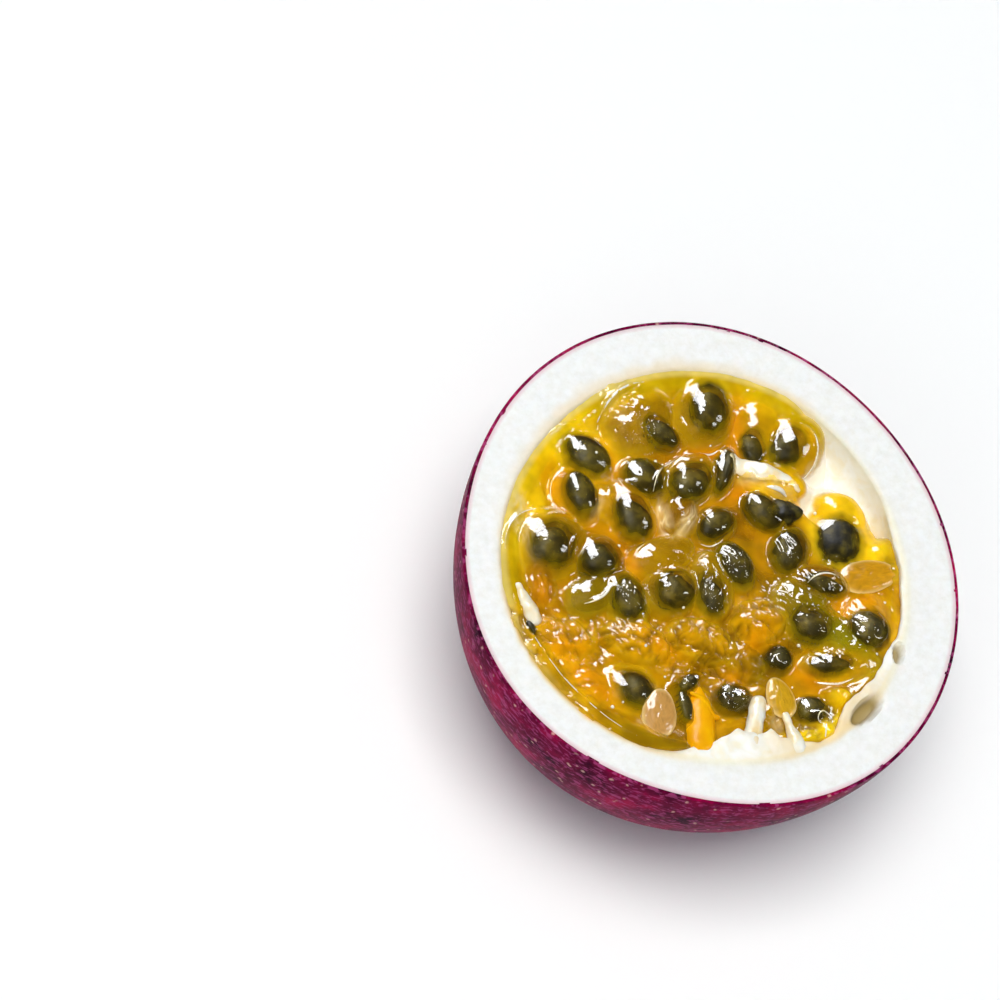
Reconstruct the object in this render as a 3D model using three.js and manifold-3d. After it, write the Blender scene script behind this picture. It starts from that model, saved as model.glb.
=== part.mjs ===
// Half of a purple passion fruit, cut across and resting on its skin with the cut face level and up.
// Millimetres, +Z up. The origin is on the table, under the middle of the half.
// The forms are worked out in the frame of the cut face (z = 0 at the cut), and the group then lifts them.
import * as THREE from "three";
import { mergeVertices } from "three/addons/utils/BufferGeometryUtils.js";
import Module from "manifold-3d";

const wasm = await Module();
wasm.setup();

// ---- Driving dimensions ----

// The outer edge of the cut: a circle with a few low lobes, since no fruit is quite round.
const RIM = {
  centre: [0, 0],
  radius: 27.15,
  lobes: [
    { count: 3, cos: -0.1, sin: -0.33 },
    { count: 4, cos: -0.05, sin: 0.13 },
    { count: 5, cos: 0.06, sin: 0 },
  ],
};
// The edge of the seed cavity at the cut, a little off centre, so the white wall is thinnest at lower left.
const CAVITY = {
  centre: [-0.6, -0.4],
  radius: 21.95,
  lobes: [
    { count: 2, cos: 0.14, sin: 0.34 },
    { count: 3, cos: -0.23, sin: -0.23 },
  ],
};
const DOME_DEPTH = 28.5; // cut face to the tip of the dome, if it were not set down
const REST_DEPTH = 27.3; // cut face to the small flat that the half rests on
const DOME_POWER = 1.8; // 2 is an ellipse, less is more pointed
const CAVITY_DEPTH = 22.6;
const CAVITY_POWER = 2;
const LEAN = [-1.2, -4.2]; // how far the tip lies to the side, as the cut is a little askew
const LIP = 0.6; // rounding of the cavity's edge
const PULP_GAP = 0.3; // between the pulp and the wall
const PULP_EDGE = -0.5; // height of the pulp where it meets the wall
const PULP_LEVEL = -1.5; // height of the pulp between the juice sacs
const PULP_RISE = 3; // room above the cut for the sacs that stand proud

// Where the pulp has sunk and the lining of the cavity shows, at upper right.
const POCKET = { x: 18.2, y: 10.4, reach: 6.7, depth: 7.5 };

const SIDES = 64;
const DOME_STEPS = 11;
const CAVITY_STEPS = 7;
const PULP_SIDES = 40;
const PULP_BOTTOM_STEPS = 6;
const PULP_TOP_STEPS = 5;

// Juice sacs: place, length, width, turn of the long side in degrees, height of the top over the cut.
const SACS = [
  { x: 2, y: 17.3, long: 9, wide: 7, turn: 70, top: 0.6 },
  { x: -5.5, y: 16.5, long: 10, wide: 7.5, turn: 35, top: 0.3 },
  { x: -12, y: 13, long: 8, wide: 6.5, turn: 150, top: -0.7 },
  { x: -14, y: 8, long: 7, wide: 6, turn: 90, top: -0.4 },
  { x: -17.3, y: 2.5, long: 9.5, wide: 8, turn: 40, top: 0.6 },
  { x: -12, y: 0.5, long: 6.5, wide: 6, turn: 160, top: 0.2 },
  { x: -10.5, y: 7, long: 4, wide: 3, turn: 105, top: 0 },
  { x: -8, y: 6, long: 7.5, wide: 5.5, turn: 110, top: 0.4 },
  { x: -6, y: 9.5, long: 7, wide: 6, turn: 170, top: 0.1 },
  { x: -1, y: 9.5, long: 7.5, wide: 5.5, turn: 35, top: 0.7 },
  { x: -2.5, y: 5.5, long: 5.5, wide: 3.5, turn: 90, top: 0.3 },
  { x: 3, y: 10.5, long: 6, wide: 3, turn: 65, top: -0.3 },
  { x: 1, y: 4.3, long: 5.5, wide: 4, turn: 30, top: 0.2 },
  { x: 8, y: 15.7, long: 9.5, wide: 6, turn: 85, top: -0.2 },
  { x: 12, y: 14, long: 8.5, wide: 6.5, turn: 50, top: 0.2 },
  { x: 8.5, y: 9.5, long: 7.5, wide: 4.5, turn: 170, top: 0 },
  { x: 7, y: 6, long: 5.5, wide: 4, turn: 135, top: 0 },
  { x: 16, y: 3, long: 9, wide: 8, turn: 155, top: -1.2 },
  { x: 9, y: 1.5, long: 6, wide: 4.5, turn: 65, top: 0 },
  { x: 2.5, y: -0.5, long: 6, wide: 4.5, turn: 105, top: 0.6 },
  { x: -0.5, y: -2.5, long: 8, wide: 5, turn: 85, top: 0.6 },
  { x: -5.5, y: 0.7, long: 8.5, wide: 4.5, turn: 20, top: 0.4 },
  { x: -5, y: -3, long: 7, wide: 6, turn: 25, top: 0.8 },
  { x: -10, y: -3.7, long: 7, wide: 5, turn: 110, top: 0.4 },
  { x: -13.5, y: -3.2, long: 6.5, wide: 4.5, turn: 30, top: 0 },
  { x: -19, y: -2, long: 5.5, wide: 4, turn: 105, top: -0.6 },
  { x: 12, y: -2, long: 7, wide: 4, turn: 172, top: -0.2 },
  { x: 9.7, y: -5.5, long: 9, wide: 6.5, turn: 130, top: 0.4 },
  { x: 16.7, y: -6.5, long: 7.5, wide: 7, turn: 65, top: -0.4 },
  { x: 12.7, y: -11.3, long: 9.5, wide: 4.2, turn: 0, top: 0 },
  { x: 4, y: -6.5, long: 6.5, wide: 5.5, turn: 20, top: 0.4 },
  { x: -2.5, y: -8.5, long: 8, wide: 5, turn: 160, top: 0.4 },
  { x: -9.5, y: -8.3, long: 7.5, wide: 5, turn: 160, top: 0.3 },
  { x: -17.3, y: -8, long: 7.5, wide: 5, turn: 170, top: -0.2 },
  { x: 2, y: -10.7, long: 5, wide: 4, turn: 135, top: 0 },
  { x: -11, y: -13.5, long: 7, wide: 6, turn: 170, top: -0.4 },
  { x: -15.5, y: -13, long: 6.5, wide: 5, turn: 150, top: -0.5 },
];
// Seeds and pale ovals that stand bare, in the same terms.
const BARE_SEEDS = [
  { x: -12, y: 12.2, long: 5.8, wide: 4.3, turn: 142, top: 0.4 },
  { x: -13.4, y: 7.7, long: 5.2, wide: 3.6, turn: 100, top: 0.5 },
  { x: 9.3, y: 5.8, long: 3.6, wide: 2.8, turn: 10, top: 0 },
  { x: 15, y: 2.7, long: 5.6, wide: 5, turn: 56, top: -0.4 },
  { x: 18.2, y: -0.7, long: 5.6, wide: 3.4, turn: 10, top: -0.6 },
  { x: 16.2, y: -7.6, long: 5.2, wide: 4.6, turn: 5, top: 0.1 },
  { x: 5.6, y: -10.7, long: 3.2, wide: 2.8, turn: 5, top: 0 },
  { x: 0, y: -15, long: 4, wide: 3.6, turn: 0, top: -0.3 },
  { x: 8.7, y: -16, long: 4, wide: 3.2, turn: 173, top: -0.5 },
  { x: -8.1, y: -16, long: 5.4, wide: 3.6, turn: 76, top: -0.2 },
  { x: -3.9, y: -16.8, long: 6.2, wide: 3, turn: 81, top: -0.1 },
  { x: 5.9, y: -14.1, long: 4.6, wide: 3, turn: 102, top: 0.2 },
];
// Pale stalks that run from the crest at the wall up to a seed.
const STALKS = [
  { from: [2, -19.2], to: [2.5, -15.8], radius: 0.95, top: 0.2 },
  { from: [7.2, -19.8], to: [6.5, -15.5], radius: 0.5, top: 0.2 },
];
// The white crest that the stalks grow from, along the wall at the bottom of the face.
const CREST = { from: 248, to: 300, count: 9, inset: 1.9, radius: 1.7, top: -0.2 };

const SAC_HEIGHT = 0.75; // of its width
const SEED_HEIGHT = 0.6;

// ---- Outlines and profiles ----

const radians = THREE.MathUtils.degToRad;

// Distance from the edge's own centre to the edge, in one direction.
function edgeRadius(edge, angle) {
  return edge.lobes.reduce(
    (r, lobe) => r + lobe.cos * Math.cos(lobe.count * angle) + lobe.sin * Math.sin(lobe.count * angle),
    edge.radius,
  );
}

// One level ring of a bowl: the edge drawn in to a share of its size, its lobes fading, its centre leaning.
function bowlRing(edge, sides, share, fall, z, inset = 0) {
  return Array.from({ length: sides }, (_, i) => {
    const angle = (i / sides) * 2 * Math.PI;
    const lobed = edgeRadius(edge, angle) - edge.radius;
    const r = (edge.radius + lobed * (1 - fall) ** 2) * share - inset;
    return new THREE.Vector3(
      edge.centre[0] + LEAN[0] * fall + r * Math.cos(angle),
      edge.centre[1] + LEAN[1] * fall + r * Math.sin(angle),
      z,
    );
  });
}

// The rings of a bowl from its lowest part, at lowestShare of its depth, up to the cut.
function bowlRings({ edge, sides, steps, depth, power, lowestShare, inset = 0 }) {
  const steepest = Math.asin(lowestShare ** (power / 2));
  return Array.from({ length: steps + 1 }, (_, i) => {
    const slope = steepest * (1 - i / steps);
    const fall = Math.sin(slope) ** (2 / power);
    return bowlRing(edge, sides, Math.cos(slope) ** (2 / power), fall, -fall * depth, inset);
  });
}

// A closed skin over rings of equal length, from a point under the first ring to a point inside the last.
function closedOver(first, rings, last) {
  const sides = rings[0].length;
  const points = [first, ...rings.flat(), last];
  const faces = [];
  const at = (ring, i) => 1 + ring * sides + (i % sides);
  for (let i = 0; i < sides; i++) {
    faces.push(0, at(0, i + 1), at(0, i));
    for (let ring = 0; ring + 1 < rings.length; ring++) {
      faces.push(at(ring, i), at(ring, i + 1), at(ring + 1, i + 1));
      faces.push(at(ring, i), at(ring + 1, i + 1), at(ring + 1, i));
    }
    faces.push(at(rings.length - 1, i), at(rings.length - 1, i + 1), points.length - 1);
  }
  const geometry = new THREE.BufferGeometry().setFromPoints(points);
  return geometry.setIndex(faces);
}

// The middle of a ring, at a height of its own.
function middle(ring, z) {
  const sum = ring.reduce((total, point) => total.add(point), new THREE.Vector3());
  return sum.divideScalar(ring.length).setZ(z);
}

// ---- Joining ----

// A closed geometry as a solid that can be joined and cut.
function solidOf(geometry) {
  const bare = geometry.clone();
  bare.deleteAttribute("normal");
  bare.deleteAttribute("uv");
  const merged = mergeVertices(bare, 1e-4);
  const mesh = new wasm.Mesh({
    numProp: 3,
    vertProperties: merged.attributes.position.array,
    triVerts: new Uint32Array(merged.index.array),
  });
  return new wasm.Manifold(mesh);
}

// A joined solid as a three.js geometry.
function geometryOf(solid) {
  const { vertProperties, triVerts } = solid.getMesh();
  const geometry = new THREE.BufferGeometry();
  geometry.setAttribute("position", new THREE.BufferAttribute(vertProperties, 3));
  geometry.setIndex(new THREE.BufferAttribute(triVerts, 1));
  geometry.computeVertexNormals();
  return geometry;
}

// ---- The shell: skin and white wall in one ----

function shellGeometry() {
  const outside = bowlRings({
    edge: RIM,
    sides: SIDES,
    steps: DOME_STEPS,
    depth: DOME_DEPTH,
    power: DOME_POWER,
    lowestShare: REST_DEPTH / DOME_DEPTH,
  });
  const inside = bowlRings({
    edge: CAVITY,
    sides: SIDES,
    steps: CAVITY_STEPS,
    depth: CAVITY_DEPTH,
    power: CAVITY_POWER,
    lowestShare: 0.99,
  }).reverse();
  // The cavity's edge is rounded: the level ring stops short of it, and the wall starts under it.
  const shoulder = bowlRing(CAVITY, SIDES, 1, 0, 0, -LIP);
  inside[0].forEach((point) => point.setZ(-LIP));
  const first = middle(outside[0], -REST_DEPTH);
  const last = middle(inside.at(-1), -CAVITY_DEPTH);
  return closedOver(first, [...outside, shoulder, ...inside], last);
}

// ---- The pulp: a core with the sacs, seeds, stalks and crest fused on ----

// The bowl that the pulp fills, clear of the wall.
function pulpBowl() {
  return bowlRings({
    edge: CAVITY,
    sides: PULP_SIDES,
    steps: PULP_BOTTOM_STEPS,
    depth: CAVITY_DEPTH - PULP_GAP,
    power: CAVITY_POWER,
    lowestShare: 0.98,
    inset: PULP_GAP,
  });
}

// Height of the bare core: level, raised at the wall, and sunk in the pocket.
function coreHeight(x, y, fromMiddle) {
  const toPocket = Math.hypot(x - POCKET.x, y - POCKET.y) / POCKET.reach;
  const sunk = POCKET.depth * Math.exp(-(toPocket ** 4));
  return PULP_LEVEL + (PULP_EDGE - PULP_LEVEL) * fromMiddle ** 6 - sunk;
}

function coreSolid() {
  const bottom = pulpBowl();
  const wall = bottom.pop();
  const centre = middle(wall, 0);
  const top = Array.from({ length: PULP_TOP_STEPS }, (_, i) => {
    const share = 1 - i / PULP_TOP_STEPS;
    return wall.map((point) => {
      const spot = point.clone().sub(centre).multiplyScalar(share).add(centre);
      return spot.setZ(coreHeight(spot.x, spot.y, share));
    });
  });
  // No wall ring may stand over the top ring that closes it.
  const below = bottom.filter((ring) => ring[0].z < PULP_EDGE - POCKET.depth - 1);
  const first = middle(below[0], -(CAVITY_DEPTH - PULP_GAP));
  const last = centre.clone().setZ(coreHeight(centre.x, centre.y, 0));
  return solidOf(closedOver(first, [...below, ...top], last));
}

// All the room that the pulp may take, with headroom for the sacs above the cut.
function pulpRoom() {
  const rings = pulpBowl();
  const above = rings.at(-1).map((point) => point.clone().setZ(PULP_RISE));
  const first = middle(rings[0], -(CAVITY_DEPTH - PULP_GAP));
  return solidOf(closedOver(first, [...rings, above], middle(above, PULP_RISE)));
}

// A rounded lump with few faces, lying flat.
function lump({ x, y, long, wide, turn, top }, heightShare) {
  const high = wide * heightShare;
  const geometry = new THREE.IcosahedronGeometry(0.5, 1);
  geometry.scale(long, wide, high);
  geometry.rotateZ(radians(turn));
  geometry.translate(x, y, top - high / 2);
  return solidOf(geometry);
}

// A stalk that lies from one place to another.
function stalk({ from, to, radius, top }) {
  const start = new THREE.Vector2(...from);
  const run = new THREE.Vector2(...to).sub(start);
  const geometry = new THREE.CapsuleGeometry(radius, run.length(), 2, 8);
  geometry.rotateZ(run.angle() - Math.PI / 2);
  geometry.translate(start.x + run.x / 2, start.y + run.y / 2, top - radius);
  return solidOf(geometry);
}

// The crest: lumps side by side along the wall, every other one smaller.
function crestLumps() {
  return Array.from({ length: CREST.count }, (_, i) => {
    const degrees = CREST.from + ((CREST.to - CREST.from) * i) / (CREST.count - 1);
    const angle = radians(degrees);
    const out = edgeRadius(CAVITY, angle) - CREST.inset;
    const width = CREST.radius * (i % 2 ? 1.7 : 2.1);
    const place = {
      x: CAVITY.centre[0] + out * Math.cos(angle),
      y: CAVITY.centre[1] + out * Math.sin(angle),
    };
    return lump({ ...place, long: 4.2, wide: width, turn: degrees + 90, top: CREST.top }, 1);
  });
}

function pulpGeometry() {
  const pieces = [
    coreSolid(),
    ...SACS.map((sac) => lump(sac, SAC_HEIGHT)),
    ...BARE_SEEDS.map((seed) => lump(seed, SEED_HEIGHT)),
    ...STALKS.map(stalk),
    ...crestLumps(),
  ];
  const joined = pieces.reduce((whole, piece) => whole.add(piece));
  const kept = joined.intersect(pulpRoom()).decompose();
  return geometryOf(kept.reduce((most, body) => (body.volume() > most.volume() ? body : most)));
}

// ---- The half ----

const shellMaterial = new THREE.MeshStandardMaterial({ color: 0x6e2140, roughness: 0.4, metalness: 0 });
const pulpMaterial = new THREE.MeshStandardMaterial({ color: 0xd79a12, roughness: 0.2, metalness: 0 });

const shell = new THREE.Mesh(shellGeometry(), shellMaterial);
shell.name = "shell";
const pulp = new THREE.Mesh(pulpGeometry(), pulpMaterial);
pulp.name = "pulp";

const half = new THREE.Group();
half.name = "passion_fruit_half";
half.add(shell, pulp);

// Stand it on its flat, with the middle of its box over the origin.
shell.geometry.computeBoundingBox();
const box = shell.geometry.boundingBox;
half.position.set(-(box.min.x + box.max.x) / 2, -(box.min.y + box.max.y) / 2, REST_DEPTH);

export default half;
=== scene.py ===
"""Half of a purple passion fruit, cut across and lying on its skin with the cut face up.

Each piece is worked out in the frame of the cut face, in millimetres, with z = 0 at the cut.
place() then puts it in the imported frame, in metres.
"""
from math import asin, atan2, cos, pi, radians, sin

import bmesh
import bpy
import numpy as np
from mathutils import Euler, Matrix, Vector, noise


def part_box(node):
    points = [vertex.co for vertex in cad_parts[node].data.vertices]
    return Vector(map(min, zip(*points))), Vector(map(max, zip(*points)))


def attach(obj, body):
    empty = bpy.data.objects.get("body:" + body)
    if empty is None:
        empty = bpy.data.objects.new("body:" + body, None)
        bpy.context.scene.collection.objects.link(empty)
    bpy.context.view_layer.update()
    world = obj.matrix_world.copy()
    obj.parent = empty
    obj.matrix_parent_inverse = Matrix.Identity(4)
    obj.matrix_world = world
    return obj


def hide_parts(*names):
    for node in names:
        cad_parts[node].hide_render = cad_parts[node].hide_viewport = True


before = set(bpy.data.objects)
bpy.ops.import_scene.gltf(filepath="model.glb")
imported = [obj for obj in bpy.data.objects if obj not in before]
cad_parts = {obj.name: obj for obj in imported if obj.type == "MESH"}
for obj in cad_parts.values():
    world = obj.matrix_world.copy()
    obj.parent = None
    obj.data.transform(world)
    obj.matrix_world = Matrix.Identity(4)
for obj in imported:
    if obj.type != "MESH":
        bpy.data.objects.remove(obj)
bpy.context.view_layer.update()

MM = 0.001
TURN = 2 * pi

# ---- Sizes, in millimetres, the same as the solids' ----

# An edge is its centre, its radius and its low lobes: how many round the edge, and their two parts.
RIM = {
    "centre": (0.0, 0.0),
    "radius": 27.15,
    "lobes": ((3, -0.1, -0.33), (4, -0.05, 0.13), (5, 0.06, 0.0)),
}
CAVITY = {
    "centre": (-0.6, -0.4),
    "radius": 21.95,
    "lobes": ((2, 0.14, 0.34), (3, -0.23, -0.23)),
}
DOME_DEPTH = 28.5
REST_DEPTH = 27.3
DOME_POWER = 1.8
CAVITY_DEPTH = 22.6
CAVITY_POWER = 2.0
DOME_LOWEST = 0.95  # of its depth: where the inner rings of the skin and the wall start
CAVITY_LOWEST = 0.99
LEAN = (-1.2, -4.2)
LIP = 0.6
SKIN = 0.45
FACE = Vector((0.05, -0.205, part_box("shell")[1].z / MM))  # the cut face's own centre, in the frame

# ---- Sizes of the scene's own, in millimetres ----

SKIN_LOW = 0.03  # the skin's edge lies this far under the cut
OVERLAP = 0.12  # the white wall's outside lies this deep in the skin
PULP_LEVEL = -1.4  # between the sacs
PULP_CLIMB = 1.2  # the pulp is this much higher at the wall
COVERED_LEVEL = -0.8  # and no higher than this under the torn white skin
POCKET = {"x": 18.2, "y": 10.4, "reach": 6.7, "depth": 7.5}
WALL_FOOT = (0.84, 0.96)  # where the pulp starts and ends its climb, 1 at the wall
RIGHT_SIDE = 8  # in degrees: where the pulp hardly climbs the wall
LEFT_SIDE = 120  # in degrees: where it is palest at the wall
SAC_HEIGHT = 0.75  # as a share of its width
SEED_HEIGHT = 0.6  # as a share of its width
FOLDED_FROM = 0.6  # sacs as clear as this have folds
# The pits are painted darker as shade, down to the darkest at this depth.
DARK_PIT = 1.6  # a pit as deep as this looks as dark as one can
FIBRE_STRETCH = 3  # the length of a fibre, as a share of its spacing

# The pulp's colours, and the dark browns painted as shade in its creases and valleys.
TINTS = {
    "olive": "#A08004",
    "green": "#867404",
    "lime": "#8A8804",
    "bronze": "#8A6402",
    "gold": "#C09C04",
    "yellow": "#F4CC04",
    "amber": "#DAA204",
    "orange": "#E8AE04",
    "bright": "#FFD814",
}
# Creases between the sacs: orange juice, and a dark brown that is painted shade, laid in patches.
CREASE_JUICE_AND_SHADE = ("#CE9A04", "#8C6404")
GLOW = "#F0A004"
EDGE = "#E8C81E"
# Painted shade for the valleys between the loose fibre mounds.
VALLEY_SHADE = "#7A5404"
HALO = ("#383004", "#6E6009")
PALE = "#F4DC78"
IVORY = "#FFFCF2"
MILK = "#F6E8BC"

# Juice sacs: x, y, length, width, turn in degrees, top over the cut, how clear from 0 to 1, tint.
SACS = (
    (2, 17.3, 9, 7, 70, 0.6, 0.9, "olive"),
    (-5.5, 16.5, 10, 7.5, 35, 0.3, 0.85, "olive"),
    (-12, 13, 8, 6.5, 150, -0.7, 0.4, "bright"),
    (-14, 8, 7, 6, 90, -0.4, 0.8, "orange"),
    (-17.3, 2.5, 9.5, 8, 40, 0.6, 0.9, "olive"),
    (-12, 0.5, 6.5, 6, 160, 0.2, 0.9, "bronze"),
    (-10.5, 7, 4, 3, 105, 0, 1, "gold"),
    (-8, 6, 7.5, 5.5, 110, 0.4, 0.8, "amber"),
    (-6, 9.5, 7, 6, 170, 0.1, 0.9, "olive"),
    (-1, 9.5, 7.5, 5.5, 35, 0.7, 0.9, "olive"),
    (-2.5, 5.5, 5.5, 3.5, 90, 0.3, 0.8, "bronze"),
    (3, 10.5, 6, 3, 65, -0.3, 0.9, "olive"),
    (1, 4.3, 5.5, 4, 30, 0.2, 0.8, "bronze"),
    (8, 15.7, 9.5, 6, 85, -0.2, 0.8, "gold"),
    (12, 14, 8.5, 6.5, 50, 0.2, 0.9, "gold"),
    (8.5, 9.5, 7.5, 4.5, 170, 0, 0.8, "yellow"),
    (7, 6, 5.5, 4, 135, 0, 0.9, "bronze"),
    (16, 3, 9, 8, 155, -1.2, 0.5, "bright"),
    (9, 1.5, 6, 4.5, 65, 0, 0.7, "bronze"),
    (2.5, -0.5, 6, 4.5, 105, 0.6, 0.7, "olive"),
    (-0.5, -2.5, 8, 5, 85, 0.6, 0.7, "olive"),
    (-5.5, 0.7, 8.5, 4.5, 20, 0.4, 0.9, "olive"),
    (-5, -3, 7, 6, 25, 0.8, 0.9, "olive"),
    (-10, -3.7, 7, 5, 110, 0.4, 0.8, "green"),
    (-13.5, -3.2, 6.5, 4.5, 30, 0, 0.9, "green"),
    (-19, -2, 5.5, 4, 105, -0.6, 0.4, "bronze"),
    (12, -2, 7, 4, 172, -0.2, 0.8, "bronze"),
    (9.7, -5.5, 9, 6.5, 130, 0.4, 0.9, "green"),
    (12.6, -7.6, 12, 3.8, 137, 0.2, 0.8, "lime"),
    (16.7, -6.5, 7.5, 7, 65, -0.4, 0.6, "orange"),
    (12.7, -11.3, 9.5, 4.2, 0, 0, 0.9, "gold"),
    (4, -6.5, 6.5, 5.5, 20, 0.4, 0.15, "amber"),
    (-2.5, -8.5, 8, 5, 160, 0.4, 0.15, "amber"),
    (-9.5, -8.3, 7.5, 5, 160, 0.3, 0.15, "orange"),
    (-17.3, -8, 7.5, 5, 170, -0.2, 0.15, "orange"),
    (2, -10.7, 5, 4, 135, 0, 0.3, "olive"),
    (-11, -13.5, 7, 6, 170, -0.4, 0.9, "gold"),
    (-15.5, -13, 6.5, 5, 150, -0.5, 0.4, "orange"),
    (7.4, -19.4, 2.8, 1.8, 15, -0.1, 0.3, "bright"),
    (9.4, -18.6, 2.4, 1.8, 30, 0.1, 0.3, "bright"),
    (11.2, -17.6, 2.2, 1.6, 38, -0.1, 0.3, "bright"),
    (12, -15.2, 3, 1.8, 150, 0, 0.4, "yellow"),
    (-18.6, 7.2, 6.5, 3.6, 112, -0.6, 0.3, "bright"),
    (16.2, 6.4, 6, 4.2, 150, -1, 0.4, "bright"),
)

# Places in a row. The first two are the same in the tables of seeds, wrinkles, glows, milk and pits.
WIDE, TURNED, TOP, CLEAR, TINT = 3, 4, 5, 6, 7

# Dark seeds: x, y, length, width, turn, top, tilt about the long side, and the gel drawn over each. Where
# that is 0 the seed lies on the gel, and below 0 it is bare and rough, by that share of its size.
SEEDS = (
    (2.3, 17.6, 6.2, 4.4, 79, 0.1, 10, 0.12),
    (-3.4, 14.8, 4.6, 3, 150, -0.35, 15, 0.12),
    (-12, 12.2, 5.8, 4.3, 142, 0.3, 14, 0.08),
    (-13.4, 7.7, 5.2, 3.6, 100, 0.4, -10, 0.1),
    (-17.3, 2, 5.2, 4.8, 30, 0.15, 5, 0.12),
    (-12.5, 0.3, 4.2, 3.8, 5, 0.2, 0, 0.12),
    (-8, 5.2, 5.4, 4, 113, 0.1, 12, 0.12),
    (-6, 9.7, 4.8, 4.4, 168, -0.1, 8, 0.12),
    (-1.2, 8.9, 5.2, 3.8, 30, 0.3, -8, 0.12),
    (3, 10.6, 5.6, 2.2, 66, -0.4, 50, 0.12),
    (1, 4.2, 4.6, 2.8, 31, 0.1, 20, 0.1),
    (6.8, 13.2, 4.2, 2.8, 95, -0.8, 0, 0.12),
    (10.6, 13.2, 5, 3.8, 51, -0.35, 10, 0.12),
    (6.8, 5.8, 5, 3.4, 136, -0.5, 15, 0.12),
    (9.3, 5.8, 3.6, 2.8, 10, 0, 0, -0.3),
    (15, 2.7, 6.2, 5.4, 56, -0.8, 0, -0.12),
    (8.8, 1.4, 5.2, 3.6, 65, -0.3, 0, 0.12),
    (2.4, -0.4, 5.2, 3.8, 107, 0.3, 12, 0.12),
    (-0.9, -3.7, 4.8, 3, 97, 0.2, -10, 0.1),
    (-4.8, -3.3, 4.6, 4.2, 45, 0.3, 0, 0.12),
    (-9.9, -4.1, 4.8, 3.4, 89, 0.2, -12, 0.12),
    (12.2, -2.4, 4.8, 2.4, 166, -0.5, 20, 0.12),
    (9.8, -7, 4.6, 3.6, 153, -0.1, 0, 0.12),
    (16.3, -7.6, 5.2, 4.6, 4, 0.1, 12, 0.05),
    (11.3, -11.4, 5, 2.2, 1, -0.5, 20, 0.12),
    (5.6, -10.7, 3.2, 2.8, 7, 0, 0, 0.06),
    (0, -14.9, 4, 3.6, 2, -0.3, 10, 0.12),
    (8.7, -16.2, 4, 3.2, 173, -0.5, 0, 0.06),
    (-10.2, -13.5, 4.4, 4, 139, -0.75, 0, 0.12),
    (-20.7, -7, 1.8, 1, 110, -0.2, 0, 0),
    (-4.7, -13.2, 2.8, 1.5, 35, -0.1, 0, 0.12),
    (-5.4, -15.6, 3.8, 1.6, 98, -0.3, 0, 0.12),
)
FILM = 7  # its place in a row; TOP is the same

# Films drawn up along sac edges: centre, radius, from and to in degrees, width, height, and the radius
# of the white edge on it, if any. That edge is a near-white strand, a painted highlight line.
FILM_RIMS = (
    (-17.8, 1.5, 4.6, 80, 180, 0.3, 0.25, 0.1),
    (-16, -0.2, 5.6, 60, 115, 0.25, 0.2, 0),
    (-3.6, 13.4, 7.1, 98, 158, 0.4, 0.35, 0.2),
    (-3.6, 13.4, 6.1, 100, 145, 0.3, 0.25, 0),
    (10.6, 12.9, 3.3, -60, 60, 0.3, 0.25, 0.13),
    (-0.9, 7.2, 4.6, 100, 172, 0.3, 0.25, 0.1),
    (-4, 2, 10, 68, 115, 0.25, 0.2, 0),
    (1, 16, 3.7, 240, 318, 0.35, 0.25, 0.14),
    (0.2, 3.9, 1.9, 230, 325, 0.25, 0.2, 0.1),
    (-14.8, -0.9, 3.6, 272, 335, 0.4, 0.3, 0.2),
    (-12.3, 0.4, 3.4, 80, 190, 0.25, 0.25, 0),
    (2.3, 17.3, 3.6, 130, 240, 0.3, 0.25, 0),
    (-13, 11, 4.5, 60, 140, 0.3, 0.2, 0),
    (11.4, -8.2, 5.2, 248, 296, 0.4, 0.3, 0.2),
    (12.3, -4.5, 3, 60, 135, 0.35, 0.3, 0.15),
    (4, 6.5, 4.6, 150, 230, 0.3, 0.2, 0),
    (-0.6, -0.4, 21.35, 196, 240, 0.25, 0.3, 0.07),
    (9.5, -17.4, 0.8, -90, 240, 0.2, 0.12, 0.1),
)

# Wrinkled parts of the film: centre, length, width, turn, depth.
WRINKLES = (
    (-6.5, 16.3, 8, 5.5, 115, 0.3),
    (11, -6.3, 12, 8, 135, 0.26),
    (-0.8, -3.8, 6, 4.5, 85, 0.2),
    (-9.5, -4.5, 5, 4, 80, 0.2),
    (-4, -0.5, 7, 3.5, 20, 0.14),
    (2.6, -0.2, 5, 3.6, 105, 0.18),
    (-6, -9, 15, 5.5, 125, 0.12),
    (5, -6, 8, 6, 120, 0.12),
    (-16, -8.5, 8, 5, 140, 0.1),
    (8.5, 1.5, 5, 4, 65, 0.14),
)

# Where the juice between the sacs is deepest orange: centre, length, width, turn.
GLOWS = (
    (-9.2, 11.6, 5.5, 1.8, 105),
    (-9, 0.6, 4.5, 1.4, 110),
    (1.6, 12.6, 8, 1.8, 5),
    (5.4, 15.5, 7.5, 1.8, 85),
    (15.6, -4.4, 6, 1.8, 20),
    (9, -12.4, 3.5, 1.8, 140),
    (4.5, 8.4, 3.5, 1.4, 30),
    (-14.5, -13, 6, 3.4, 140),
    (-18.8, -2.8, 4.5, 3.2, 100),
    (-17.5, -8.5, 6, 3.6, 160),
    (-7.5, -9, 5, 2, 150),
    (3, -9, 5, 2.5, 40),
    (0.6, -12.6, 4, 2, 10),
)

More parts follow.
